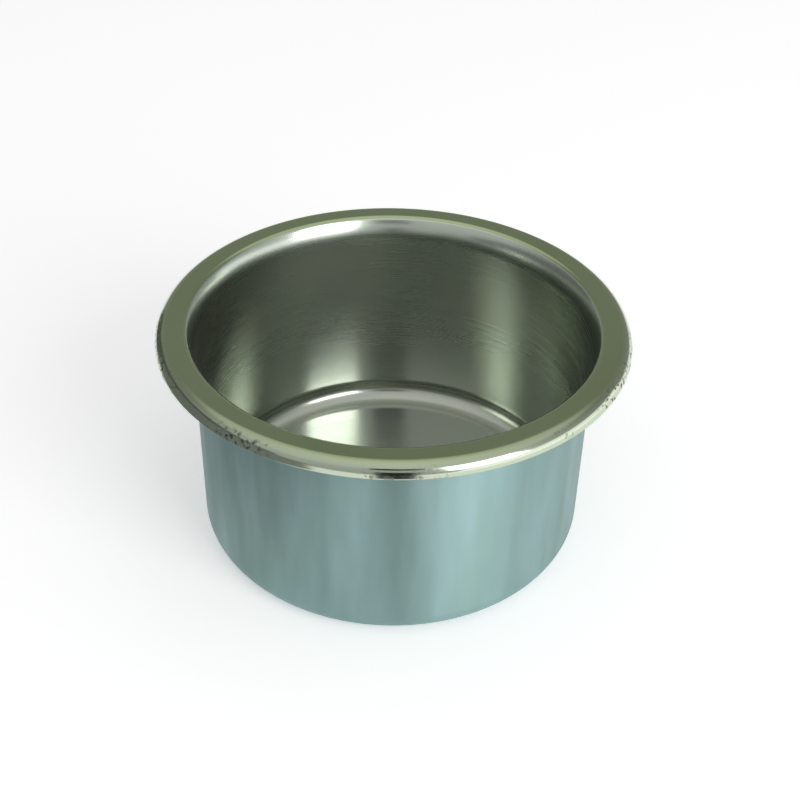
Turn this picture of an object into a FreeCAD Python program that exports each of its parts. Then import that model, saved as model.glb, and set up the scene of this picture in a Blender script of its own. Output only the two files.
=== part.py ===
"""Deep drawn metal cup with a round well, a flat flange and a turned-down rim.

The cup is one piece of sheet metal, drawn from a flat disc. The sheet keeps one
thickness from the centre of the base to the trimmed edge of the rim, so each bend
has one centre that both faces of the sheet share.

Sizes are in mm, +Z is up, and the origin is the centre of the base's underside.
"""
import FreeCAD
import Part
import math
import os

# The sheet
SHEET_THICKNESS = 0.6

# The well: its straight wall is measured outside, the base corner on its outside too
CUP_HEIGHT = 54.6
BODY_DIAMETER = 90.0
BASE_CORNER_RADIUS = 5.7

# The mouth, on its upper face: the wall flares gently outwards by an angle in degrees,
# then rolls over more tightly into the flange
FLARE_RADIUS = 9.4
FLARE_ANGLE = 33.0
ROLL_RADIUS = 1.6

# The flange, from the outside of the wall to the outside of the rim
FLANGE_WIDTH = 8.0

# The rim: its shoulder on the upper face, then a short straight skirt
RIM_SHOULDER_RADIUS = 2.8
RIM_SKIRT_LENGTH = 0.2

# The trimmed edge of the sheet has both of its corners broken by a small chamfer
EDGE_CHAMFER = 0.12

# Worked out from the sizes above
WALL_RADIUS = BODY_DIAMETER / 2
RIM_RADIUS = WALL_RADIUS + FLANGE_WIDTH
EDGE_HEIGHT = CUP_HEIGHT - RIM_SHOULDER_RADIUS - RIM_SKIRT_LENGTH

# Directions in the section: away from the axis, towards it, up and down
OUT = FreeCAD.Vector(1, 0, 0)
IN = FreeCAD.Vector(-1, 0, 0)
UP = FreeCAD.Vector(0, 0, 1)
DOWN = FreeCAD.Vector(0, 0, -1)

# From the flare's centre to the point where it runs into the roll
FLARE_TURN = math.radians(FLARE_ANGLE)
FLARE_END = FreeCAD.Vector(-math.cos(FLARE_TURN), 0, math.sin(FLARE_TURN))


def at(radius, height):
    """A point of the section."""
    return FreeCAD.Vector(radius, 0, height)


def straight(start, end):
    return Part.LineSegment(start, end).toShape()


def bend(centre, radius, first, last):
    """An arc about a bend's centre, from one direction to another."""
    halfway = (first + last).normalize()
    start = centre + first * radius
    middle = centre + halfway * radius
    end = centre + last * radius
    return Part.Arc(start, middle, end).toShape()


def halved_bend(centre, radius, first, last):
    """A bend in two equal arcs that run into each other, which keeps its mesh light."""
    halfway = (first + last).normalize()
    return [
        bend(centre, radius, first, halfway),
        bend(centre, radius, halfway, last),
    ]


def sheet_face(inset):
    """One face of the sheet, from the cup's axis to the chamfer of the trimmed edge.

    An inset of nothing gives the outside of the well and the underside of the flange.
    An inset of the sheet's thickness gives the inside and the top.
    """
    corner_centre = at(WALL_RADIUS - BASE_CORNER_RADIUS, BASE_CORNER_RADIUS)
    flare_drop = (FLARE_RADIUS - ROLL_RADIUS) * math.sin(FLARE_TURN)
    flare_centre = at(WALL_RADIUS - SHEET_THICKNESS + FLARE_RADIUS, CUP_HEIGHT - ROLL_RADIUS - flare_drop)
    roll_centre = flare_centre + FLARE_END * (FLARE_RADIUS - ROLL_RADIUS)
    shoulder_centre = at(RIM_RADIUS - RIM_SHOULDER_RADIUS, CUP_HEIGHT - RIM_SHOULDER_RADIUS)

    below_surface = SHEET_THICKNESS - inset
    corner_radius = BASE_CORNER_RADIUS - inset
    flare_radius = FLARE_RADIUS - below_surface
    roll_radius = ROLL_RADIUS - below_surface
    shoulder_radius = RIM_SHOULDER_RADIUS - below_surface

    base_centre = at(0, inset)
    base_end = corner_centre + DOWN * corner_radius
    wall_foot = corner_centre + OUT * corner_radius
    wall_top = flare_centre + IN * flare_radius
    flange_start = roll_centre + UP * roll_radius
    flange_end = shoulder_centre + UP * shoulder_radius
    skirt_top = shoulder_centre + OUT * shoulder_radius
    skirt_end = at(RIM_RADIUS - below_surface, EDGE_HEIGHT + EDGE_CHAMFER)

    return [
        straight(base_centre, base_end),
        bend(corner_centre, corner_radius, DOWN, OUT),
        straight(wall_foot, wall_top),
        bend(flare_centre, flare_radius, IN, FLARE_END),
        bend(roll_centre, roll_radius, FLARE_END, UP),
        straight(flange_start, flange_end),
        *halved_bend(shoulder_centre, shoulder_radius, UP, OUT),
        straight(skirt_top, skirt_end),
    ]


def trimmed_edge():
    """The cut edge of the rim, from the underside's face to the upper one."""
    inner_side = at(RIM_RADIUS - SHEET_THICKNESS, EDGE_HEIGHT + EDGE_CHAMFER)
    inner_end = at(RIM_RADIUS - SHEET_THICKNESS + EDGE_CHAMFER, EDGE_HEIGHT)
    outer_end = at(RIM_RADIUS - EDGE_CHAMFER, EDGE_HEIGHT)
    outer_side = at(RIM_RADIUS, EDGE_HEIGHT + EDGE_CHAMFER)
    return [
        straight(inner_side, inner_end),
        straight(inner_end, outer_end),
        straight(outer_end, outer_side),
    ]


def cup():
    """The section of the sheet, turned once about the cup's axis."""
    underside = sheet_face(0)
    upper_face = sheet_face(SHEET_THICKNESS)
    on_axis = straight(at(0, 0), at(0, SHEET_THICKNESS))
    edges = underside + trimmed_edge() + upper_face + [on_axis]
    outline = Part.Wire(Part.sortEdges(edges)[0])
    section = Part.Face(outline)
    return section.revolve(at(0, 0), UP, 360)


os.makedirs("parts", exist_ok=True)
cup().exportStep("parts/cup.step")
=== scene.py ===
"""Deep drawn metal cup: the finished look of the one-piece cup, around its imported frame.

The cup is spun afresh from the section of its sheet, finely enough for a mirror finish.
Each part of it gets its own finish: polished rim, satin inside, well floor, drawn outside.

Lengths are in metres, +Z is up, and the origin is the centre of the base's underside.
"""
import bpy
import math
from mathutils import Matrix, Vector


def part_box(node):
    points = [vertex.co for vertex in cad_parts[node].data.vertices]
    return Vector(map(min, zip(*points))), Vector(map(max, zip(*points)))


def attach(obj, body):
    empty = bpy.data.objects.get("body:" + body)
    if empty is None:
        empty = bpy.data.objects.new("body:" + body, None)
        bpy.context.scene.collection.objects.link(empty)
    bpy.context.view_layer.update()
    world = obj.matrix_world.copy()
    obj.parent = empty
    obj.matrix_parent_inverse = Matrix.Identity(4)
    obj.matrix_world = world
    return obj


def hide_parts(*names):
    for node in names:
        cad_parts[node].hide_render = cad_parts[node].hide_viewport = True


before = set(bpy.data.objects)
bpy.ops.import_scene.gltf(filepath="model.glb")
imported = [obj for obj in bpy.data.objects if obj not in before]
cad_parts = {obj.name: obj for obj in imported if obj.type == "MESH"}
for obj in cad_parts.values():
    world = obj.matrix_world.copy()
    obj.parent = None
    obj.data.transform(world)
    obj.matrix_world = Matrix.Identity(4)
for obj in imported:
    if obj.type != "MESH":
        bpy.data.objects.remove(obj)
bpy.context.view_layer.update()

CUP_LOW, CUP_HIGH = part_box("cup")

# The sheet's section. The outer sizes come from the frame, the rest are the sheet's own.
RIM_RADIUS = (CUP_HIGH[0] - CUP_LOW[0]) / 2
CUP_HEIGHT = CUP_HIGH[2] - CUP_LOW[2]
SHEET = 0.0006
FLANGE_WIDTH = 0.008
WALL_RADIUS = RIM_RADIUS - FLANGE_WIDTH
BASE_CORNER = 0.0057
FLARE = 0.0094
FLARE_TURN = math.radians(33)
ROLL = 0.0016
SHOULDER = 0.0028
SKIRT = 0.0002
EDGE_CHAMFER = 0.00012

# Heights and radii where one form of the section runs into the next
FLARE_RING = WALL_RADIUS - SHEET + FLARE
FLARE_FOOT = CUP_HEIGHT - ROLL - (FLARE - ROLL) * math.sin(FLARE_TURN)
ROLL_RING = FLARE_RING - (FLARE - ROLL) * math.cos(FLARE_TURN)
SHOULDER_RING = RIM_RADIUS - SHOULDER
EDGE_HEIGHT = CUP_HEIGHT - SHOULDER - SKIRT
BASE_RING = WALL_RADIUS - BASE_CORNER

# How finely the cup is spun
STEPS_ROUND = 288
ARC_STEP = math.radians(5)
BASE_RINGS = 12
WALL_RINGS = 16
FLANGE_RINGS = 3
SUPPORT = 0.00012
WELD = 0.000001
SMOOTH_UNDER = math.radians(30)

# Where one finish gives way to the next
POLISH_STARTS = WALL_RADIUS + 0.0012
FACES_DOWN = -0.1

# The sockets of a colour mix, which share their names with those of its other kinds
MIX_AMOUNT = 0
MIX_FIRST_COLOUR = 6
MIX_SECOND_COLOUR = 7
MIXED_COLOUR = 2

# A quarter turn of the shine, so that it stretches across the marks and not along them
ACROSS_THE_MARKS = 0.25

UPRIGHT = math.radians(90)


# ---------------------------------------------------------------- the cup's shape

def arc(ring, height, radius, first, last):
    """Points of one bend, from one angle to another, in degrees from outwards to up."""
    turn = math.radians(last - first)
    count = max(2, math.ceil(abs(turn) / ARC_STEP))
    points = []
    for step in range(count + 1):
        angle = math.radians(first) + turn * step / count
        points.append((ring + radius * math.cos(angle), height + radius * math.sin(angle)))
    return points


def flat(start, end, rings):
    """Points along a straight run, with one close to each end that keeps it straight."""
    start = Vector(start)
    end = Vector(end)
    hold = (end - start).normalized() * SUPPORT
    points = [start + hold]
    for step in range(1, rings):
        points.append(start.lerp(end, step / rings))
    points.append(end - hold)
    return [tuple(point) for point in points]


def sheet_side(inset):
    """The section of one side of the sheet, from its axis to the rim's trimmed edge.

    An inset of nothing is the outside of the well and the underside of the flange,
    and an inset of the sheet's thickness is the inside and the top.
    """
    below = SHEET - inset
    flare_end = 180 - math.degrees(FLARE_TURN)
    corner = arc(BASE_RING, BASE_CORNER, BASE_CORNER - inset, -90, 0)
    flare = arc(FLARE_RING, FLARE_FOOT, FLARE - below, 180, flare_end)
    roll = arc(ROLL_RING, CUP_HEIGHT - ROLL, ROLL - below, flare_end, 90)
    shoulder = arc(SHOULDER_RING, CUP_HEIGHT - SHOULDER, SHOULDER - below, 90, 0)
    points = [(0, inset)]
    points += flat((0, inset), corner[0], BASE_RINGS)
    points += corner
    points += flat(corner[-1], flare[0], WALL_RINGS)
    points += flare
    points += roll[1:]
    points += flat(roll[-1], shoulder[0], FLANGE_RINGS)
    points += shoulder
    points.append((RIM_RADIUS - below, EDGE_HEIGHT + EDGE_CHAMFER))
    return points


def trimmed_edge():
    """The cut edge under the rim, with both of its corners broken."""
    return [
        (RIM_RADIUS - SHEET + EDGE_CHAMFER, EDGE_HEIGHT),
        (RIM_RADIUS - EDGE_CHAMFER, EDGE_HEIGHT),
    ]


def draw_section(points):
    """Draws the section point by point, out from a plane merged to its first point."""
    bpy.ops.object.select_all(action="DESELECT")
    bpy.ops.mesh.primitive_plane_add(size=SHEET, location=(0, 0, 0))
    cup = bpy.context.object
    bpy.ops.object.mode_set(mode="EDIT")
    bpy.ops.mesh.select_all(action="SELECT")
    bpy.ops.mesh.merge(type="CENTER")
    here = Vector((0, 0, 0))
    for radius, height in points[1:]:
        there = Vector((radius, 0, height))
        bpy.ops.mesh.extrude_region_move(TRANSFORM_OT_translate={"value": there - here})
        here = there
    bpy.ops.object.mode_set(mode="OBJECT")
    return cup


def spin_cup():
    """The whole cup: the closed section of its sheet, spun once round the axis."""
    section = sheet_side(0) + trimmed_edge() + sheet_side(SHEET)[::-1]
    cup = draw_section(section)
    cup.name = "drawn_cup"
    bpy.ops.object.mode_set(mode="EDIT")
    bpy.ops.mesh.select_all(action="SELECT")
    bpy.ops.mesh.spin(steps=STEPS_ROUND, angle=math.tau, center=(0, 0, 0), axis=(0, 0, 1))
    bpy.ops.mesh.select_all(action="SELECT")
    bpy.ops.mesh.remove_doubles(threshold=WELD)
    bpy.ops.mesh.normals_make_consistent(inside=False)
    bpy.ops.object.mode_set(mode="OBJECT")
    bpy.ops.object.shade_smooth_by_angle(angle=SMOOTH_UNDER)
    return cup


# ---------------------------------------------------------------- helpers for the finishes

def add(tree, kind, inputs=None, **settings):
    """A node with its settings, and its inputs as plain values or as other nodes' outputs."""
    made = tree.nodes.new(kind)
    for name, value in settings.items():
        setattr(made, name, value)
    for name, value in (inputs or {}).items():
        if isinstance(value, bpy.types.NodeSocket):
            tree.links.new(value, made.inputs[name])
        else:
            made.inputs[name].default_value = value
    return made


def maths(tree, operation, first, second=0.0):
    """The result of one sum on two numbers or outputs."""
    return add(tree, "ShaderNodeMath", {0: first, 1: second}, operation=operation).outputs[0]


def total(tree, first, second):
    """Two numbers or outputs added."""
    return maths(tree, "ADD", first, second)


def product(tree, first, second):
    """Two numbers or outputs multiplied."""
    return maths(tree, "MULTIPLY", first, second)


def blend(tree, amount, first, second):
    """A colour between two, each a colour or an output."""
    values = {MIX_AMOUNT: amount, MIX_FIRST_COLOUR: first, MIX_SECOND_COLOUR: second}
    return add(tree, "ShaderNodeMix", values, data_type="RGBA").outputs[MIXED_COLOUR]


def spread(tree, value, between, into):
    """Turns the range between two values into another range, and holds its ends."""
    low, high = between
    first, second = into
    inputs = {"Value": value, "From Min": low, "From Max": high, "To Min": first, "To Max": second}
    return add(tree, "ShaderNodeMapRange", inputs).outputs[0]


def place(tree):
    """Object coordinates: the point, and its three axes by name."""
    point = add(tree, "ShaderNodeTexCoord").outputs["Object"]
    axes = add(tree, "ShaderNodeSeparateXYZ", {"Vector": point}).outputs
    return point, axes


def from_axis(tree, axes):
    """The distance from the cup's axis."""
    squares = total(tree, product(tree, axes["X"], axes["X"]), product(tree, axes["Y"], axes["Y"]))
    return maths(tree, "SQRT", squares)


def steel(name):
    """A bare metal material, its node tree and its shader."""
    material = bpy.data.materials.new(name)
    material.use_nodes = True
    tree = material.node_tree
    shader = tree.nodes["Principled BSDF"]
    shader.inputs["Metallic"].default_value = 1.0
    return material, tree, shader


def grain(tree, vector, detail, roughness=0.5):
    """Soft noise between nothing and one."""
    inputs = {"Vector": vector, "Scale": 1.0, "Detail": detail, "Roughness": roughness}
    return add(tree, "ShaderNodeTexNoise", inputs).outputs["Fac"]


def clouds(tree, point, across, up, detail, roughness=0.5):
    """Noise with so many marks to the metre across the cup, and so many up it."""
    stretched = add(tree, "ShaderNodeMapping", {"Vector": point, "Scale": (across, across, up)})
    return grain(tree, stretched.outputs[0], detail, roughness)


def turned_rings(tree, axes, radius, rings, breaks, detail):
    """Noise in rings round the axis: so many rings to the metre, and so many breaks in them."""
    vector = {
        "X": product(tree, radius, rings),
        "Y": product(tree, axes["X"], breaks),
        "Z": product(tree, axes["Y"], breaks),
    }
    return grain(tree, add(tree, "ShaderNodeCombineXYZ", vector).outputs[0], detail)


def fanned_streaks(tree, axes, fan, across, up, detail):
    """Upright streaks, with so many to the metre across, which the fan draws closer."""
    vector = {
        "X": product(tree, product(tree, axes["X"], fan), across),
        "Y": product(tree, product(tree, axes["Y"], fan), across),
        "Z": product(tree, axes["Z"], up),
    }
    return grain(tree, add(tree, "ShaderNodeCombineXYZ", vector).outputs[0], detail)


def raised(tree, shader, height, depth, strength):
    """Presses a pattern of heights into the surface, to a depth in metres."""
    bump = add(tree, "ShaderNodeBump", {"Height": height, "Distance": depth, "Strength": strength})
    tree.links.new(bump.outputs[0], shader.inputs["Normal"])


def brushed_round(tree, shader, amount):
    """Stretches the shine across marks that run round the axis."""
    shader.inputs["Anisotropic"].default_value = amount
    shader.inputs["Anisotropic Rotation"].default_value = ACROSS_THE_MARKS
    tangent = add(tree, "ShaderNodeTangent", direction_type="RADIAL", axis="Z")
    tree.links.new(tangent.outputs[0], shader.inputs["Tangent"])


# ---------------------------------------------------------------- the finishes

def polished_rim():
    """Bright rolled rim: olive on the flat of the flange, a painted reflection tint, and paler on
    its nicked outer edge, a painted highlight.
    """
    # The olive hues are a painted reflection tint of warm surroundings; the pale edge colour is a
    # painted highlight.
    olive = (0.43, 0.53, 0.28, 1)
    light_olive = (0.51, 0.61, 0.38, 1)
    painted_highlight_edge = (0.56, 0.63, 0.5, 1)
    dark_nick = (0.12, 0.13, 0.09, 1)
    edge_starts = SHOULDER_RING + 0.0004
    edge_full = RIM_RADIUS - 0.0006
    nicks_start = SHOULDER_RING + 0.001
    nicks_full = RIM_RADIUS - 0.0005
    edge_roughness = 0.04
    nick_roughness = 0.3
    line_height = 0.1

    material, tree, shader = steel("polished_rim")
    point, axes = place(tree)
    radius = from_axis(tree, axes)
    edge = spread(tree, radius, between=(edge_starts, edge_full), into=(0, 1))
    cloud = clouds(tree, point, across=45, up=45, detail=3.0)
    flat_tint = blend(tree, cloud, olive, light_olive)
    # Painted highlight: a paler colour blended in towards the outer edge of the rim
    tint_with_painted_highlight = blend(tree, edge, flat_tint, painted_highlight_edge)

    specks = clouds(tree, point, across=950, up=950, detail=2.0)
    patches = clouds(tree, point, across=38, up=38, detail=1.0)
    speck = spread(tree, specks, between=(0.54, 0.62), into=(0, 1))
    patch = spread(tree, patches, between=(0.47, 0.58), into=(0, 1))
    outer = spread(tree, radius, between=(nicks_start, nicks_full), into=(0, 1))
    nicked = product(tree, product(tree, speck, patch), outer)
    tree.links.new(blend(tree, nicked, tint_with_painted_highlight, dark_nick), shader.inputs["Base Color"])

    lines = turned_rings(tree, axes, radius, rings=3000, breaks=60, detail=2.0)
    polish = spread(tree, lines, between=(0.3, 0.7), into=(0.07, 0.14))
    rubbed = total(tree, product(tree, edge, edge_roughness), product(tree, nicked, nick_roughness))
    tree.links.new(total(tree, polish, rubbed), shader.inputs["Roughness"])
    height = maths(tree, "SUBTRACT", product(tree, lines, line_height), nicked)
    raised(tree, shader, height, depth=0.00004, strength=0.45)
    return material


def satin_inside():
    """Inside of the wall: fine marks round it, smoother at its foot and where it flares, and paler
    where it flares, a painted highlight.
    """
    cool = (0.44, 0.5, 0.45, 1)
    warm = (0.56, 0.57, 0.48, 1)
    # Painted highlight: a paler colour for the flared mouth
    painted_mouth_highlight = (0.66, 0.73, 0.64, 1)
    mouth_starts = FLARE_FOOT - 0.001
    mouth_full = CUP_HEIGHT - 0.0012
    foot_full = 0.004
    foot_ends = 0.03
    cloud_share = 0.6
    mouth_polish = 0.06
    foot_polish = 0.1

    material, tree, shader = steel("satin_inside")
    point, axes = place(tree)
    mouth = spread(tree, axes["Z"], between=(mouth_starts, mouth_full), into=(0, 1))
    foot = spread(tree, axes["Z"], between=(foot_full, foot_ends), into=(foot_polish, 0))
    cloud = clouds(tree, point, across=30, up=45, detail=4.0)
    tint = blend(tree, cloud, cool, warm)
    # Painted highlight: the colour turns paler towards the flared mouth
    tree.links.new(blend(tree, mouth, tint, painted_mouth_highlight), shader.inputs["Base Color"])

    marks = clouds(tree, point, across=30, up=3600, detail=3.0, roughness=0.6)
    dullness = total(tree, marks, product(tree, cloud, cloud_share))
    satin = spread(tree, dullness, between=(0.5, 1.1), into=(0.25, 0.33))
    ironed = total(tree, product(tree, mouth, mouth_polish), foot)
    tree.links.new(maths(tree, "SUBTRACT", satin, ironed), shader.inputs["Roughness"])
    brushed_round(tree, shader, amount=0.4)
    raised(tree, shader, marks, depth=0.000006, strength=0.12)
    return material


def well_floor():
    """Flat bottom of the well: nearly a mirror, with faint rings and a few dull patches."""
    grey = (0.52, 0.57, 0.53, 1)
    pale_grey = (0.6, 0.63, 0.58, 1)

    material, tree, shader = steel("well_floor")
    point, axes = place(tree)
    radius = from_axis(tree, axes)
    cloud = clouds(tree, point, across=55, up=55, detail=4.0)
    tree.links.new(blend(tree, cloud, grey, pale_grey), shader.inputs["Base Color"])

    rings = turned_rings(tree, axes, radius, rings=2200, breaks=40, detail=3.0)
    polish = spread(tree, total(tree, rings, cloud), between=(0.7, 1.3), into=(0.05, 0.11))
    tree.links.new(polish, shader.inputs["Roughness"])
    raised(tree, shader, rings, depth=0.000015, strength=0.25)
    return material


def drawn_outside():
    """Outside of the wall: satin, with soft upright streaks that fan out downwards, in its
    roughness and as painted reflection streaks in its colour; its teal is a painted reflection
    tint, and it is darker towards the foot, painted shade.
    """
    # The teal hues are a painted reflection tint of cool surroundings; the pale streak colour is a
    # painted reflection.
    deep_teal = (0.245, 0.385, 0.375, 1)
    grey_teal = (0.31, 0.44, 0.4, 1)
    painted_reflection_streak = (0.34, 0.5, 0.51, 1)
    # Painted shade: a darker colour for the foot of the wall
    painted_foot_shade = (0.16, 0.26, 0.26, 1)
    fan_closes = 4.0
    wide_share = 0.65
    fine_share = 0.35
    painted_streak_share = 0.85
    painted_shade_share = 0.5
    mark_share = 0.4

    material, tree, shader = steel("drawn_outside")
    point, axes = place(tree)
    fan = total(tree, 1.0, product(tree, axes["Z"], fan_closes))
    wide = fanned_streaks(tree, axes, fan, across=110, up=5, detail=2.0)
    fine = fanned_streaks(tree, axes, fan, across=260, up=8, detail=3.0)
    streaks = total(tree, product(tree, wide, wide_share), product(tree, fine, fine_share))
    cloud = clouds(tree, point, across=40, up=40, detail=4.0)
    cool = blend(tree, cloud, deep_teal, grey_teal)
    # Painted reflection: a paler colour along the fanned streaks
    pale = spread(tree, streaks, between=(0.35, 0.68), into=(0, 1))
    tint = blend(tree, product(tree, pale, painted_streak_share), cool, painted_reflection_streak)
    # Painted shade: the colour turns darker towards the foot of the wall
    foot = spread(tree, axes["Z"], between=(0.0, BASE_CORNER), into=(1, 0))
    colour = blend(tree, product(tree, foot, painted_shade_share), tint, painted_foot_shade)
    tree.links.new(colour, shader.inputs["Base Color"])

    marks = clouds(tree, point, across=35, up=2600, detail=3.0, roughness=0.6)
    shine = total(tree, product(tree, marks, mark_share), streaks)
    satin = spread(tree, shine, between=(0.45, 0.95), into=(0.5, 0.42))
    tree.links.new(satin, shader.inputs["Roughness"])
    brushed_round(tree, shader, amount=0.85)
    raised(tree, shader, marks, depth=0.00001, strength=0.15)
    return material


def finish_of(face):
    """The finish for one face of the sheet, by where it lies and which way it faces."""
    radius = math.hypot(face.center.x, face.center.y)
    height = face.center.z
    faces_out = face.normal.x * face.center.x + face.normal.y * face.center.y > 0
    faces_up = face.normal.z > 0
    above_wall = height > FLARE_FOOT
    on_rim = above_wall and radius > POLISH_STARTS
    if on_rim and (face.normal.z > FACES_DOWN or radius > SHOULDER_RING):
        return polished_rim
    if height > SHEET / 2 and radius < BASE_RING and faces_up:
        return well_floor
    if not faces_out or (above_wall and faces_up):
        return satin_inside
    return drawn_outside


def finish_cup(cup):
    """Gives each part of the sheet its finish."""
    finishes = (drawn_outside, polished_rim, satin_inside, well_floor)
    for finish in finishes:
        cup.data.materials.append(finish())
    for face in cup.data.polygons:
        face.material_index = finishes.index(finish_of(face))


# ---------------------------------------------------------------- the studio

def camera():
    """A camera that looks down on the cup from the front, turned a little on its own axis."""
    above = math.radians(36.59)
    turned = math.radians(1.36)
    rim_to_aim = Vector((0.00168, -0.01104, -0.01488))
    distance = 0.2884
    sensor_width_mm = 36
    focal_length_mm = 58.18
    right = Vector((1, 0, 0))
    up = Vector((0, math.sin(above), math.cos(above)))
    ahead = Vector((0, math.cos(above), -math.sin(above)))
    lens = bpy.data.cameras.new("camera")
    lens.sensor_width = sensor_width_mm
    lens.lens = focal_length_mm
    made = bpy.data.objects.new("camera", lens)
    bpy.context.scene.collection.objects.link(made)
    aim = Vector((0, 0, CUP_HEIGHT)) + rim_to_aim
    made.location = aim - ahead * distance
    facing = Matrix((right, up, -ahead)).transposed() @ Matrix.Rotation(turned, 3, "Z")
    made.rotation_euler = facing.to_euler()
    bpy.context.scene.camera = made


def stage_plane(name, size, grey):
    """A plane for the stage, with a plain material that has no shine, and its shader."""
    bpy.ops.object.select_all(action="DESELECT")
    bpy.ops.mesh.primitive_plane_add(size=size)
    plane = bpy.context.object
    plane.name = name
    material = bpy.data.materials.new(name)
    material.use_nodes = True
    shader = material.node_tree.nodes["Principled BSDF"]
    shader.inputs["Base Color"].default_value = (grey, grey, grey, 1)
    shader.inputs["Specular IOR Level"].default_value = 0
    plane.data.materials.append(material)
    return plane, material.node_tree, shader


def pale_floor():
    """A pale floor, wide enough to fill the view, and brightened where it is only looked at."""
    floor_size = 24
    floor_grey = 0.95
    floor_roughness = 0.9
    brightened = 0.36
    floor, tree, shader = stage_plane("floor", floor_size, floor_grey)
    shader.inputs["Roughness"].default_value = floor_roughness
    rays = add(tree, "ShaderNodeLightPath").outputs
    seen = maths(tree, "MAXIMUM", rays["Is Camera Ray"], rays["Is Glossy Ray"])
    seen = maths(tree, "MAXIMUM", seen, rays["Is Transmission Ray"])
    tree.links.new(product(tree, seen, brightened), shader.inputs["Emission Strength"])
    shader.inputs["Emission Color"].default_value = (1, 1, 1, 1)


def level_ramp(tree, height, stops):
    """Grey levels of the room by height: each stop is degrees above level and a grey."""
    ramp = add(tree, "ShaderNodeValToRGB", {"Fac": height})
    ramp.color_ramp.interpolation = "EASE"
    marks = ramp.color_ramp.elements
    marks.remove(marks[1])
    for number, (above, grey) in enumerate(stops):
        position = math.sin(math.radians(above))
        mark = marks.new(position) if number else marks[0]
        mark.position = position
        mark.color = (grey, grey, grey, 1)
    return ramp.outputs["Color"]


def room():
    """A plain grey room, paler overhead and in front, with a darker wall behind."""
    levels_behind = [(0, 0.3), (40, 0.26), (54, 0.6), (90, 0.75)]
    levels_before = [(0, 0.45), (30, 0.5), (60, 0.68), (90, 0.75)]
    from_back_to_front = (0.35, -0.35)
    world = bpy.data.worlds.new("studio")
    bpy.context.scene.world = world
    world.use_nodes = True
    tree = world.node_tree
    direction = add(tree, "ShaderNodeTexCoord").outputs["Generated"]
    axes = add(tree, "ShaderNodeSeparateXYZ", {"Vector": direction}).outputs
    behind = level_ramp(tree, axes["Z"], levels_behind)
    before = level_ramp(tree, axes["Z"], levels_before)
    front = spread(tree, axes["Y"], between=from_back_to_front, into=(0, 1))
    grey = blend(tree, front, behind, before)
    tree.links.new(grey, tree.nodes["Background"].inputs["Color"])


def around(side, far, low, high):
    """The middle of an upright panel: degrees clockwise from the back, distance and heights."""
    side = math.radians(side)
    return Vector((math.sin(side) * far, math.cos(side) * far, (low + high) / 2))


def softbox(name, side, far, width, low, high, power):
    """An upright softbox on one side, facing the cup."""
    lamp = bpy.data.lights.new(name, "AREA")
    lamp.shape = "RECTANGLE"
    lamp.size = width
    lamp.size_y = high - low
    lamp.energy = power
    made = bpy.data.objects.new(name, lamp)
    bpy.context.scene.collection.objects.link(made)
    made.location = around(side, far, low, high)
    made.rotation_euler = (UPRIGHT, 0, math.radians(180 - side))


def grey_card(name, side, far, width, low, high, grey):
    """An upright dark or grey card that shows in the metal and nowhere else."""
    card = stage_plane(name, 1, grey)[0]
    card.scale = (width, high - low, 1)
    card.rotation_euler = (UPRIGHT, 0, math.radians(-side))
    card.location = around(side, far, low, high)
    bpy.ops.object.transform_apply(location=True, rotation=True, scale=True)
    card.visible_camera = False
    card.visible_diffuse = False
    card.visible_shadow = False


cup = spin_cup()
finish_cup(cup)
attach(cup, "root")
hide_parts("cup")
pale_floor()
room()
softbox("window", side=138, far=1.0, width=0.62, low=0.28, high=1.0, power=5.6)
softbox("low_panel", side=108, far=0.8, width=1.5, low=0, high=0.28, power=1.1)
grey_card("camera_stand", side=178, far=0.13, width=0.032, low=0, high=0.084, grey=0.03)
grey_card("camera_flag", side=177, far=0.22, width=0.09, low=0.185, high=0.25, grey=0.01)
# Grey cards seen only in the metal: painted shade standing in for the shaded floor on the cup's
# left
grey_card("shaded_floor_card_left", side=-88, far=0.2, width=0.42, low=0, high=0.13, grey=0.16)
grey_card("near_shaded_floor_card", side=-112, far=0.1, width=0.17, low=0, high=0.066, grey=0.33)
camera()
bpy.context.scene.view_settings.view_transform = "Standard"
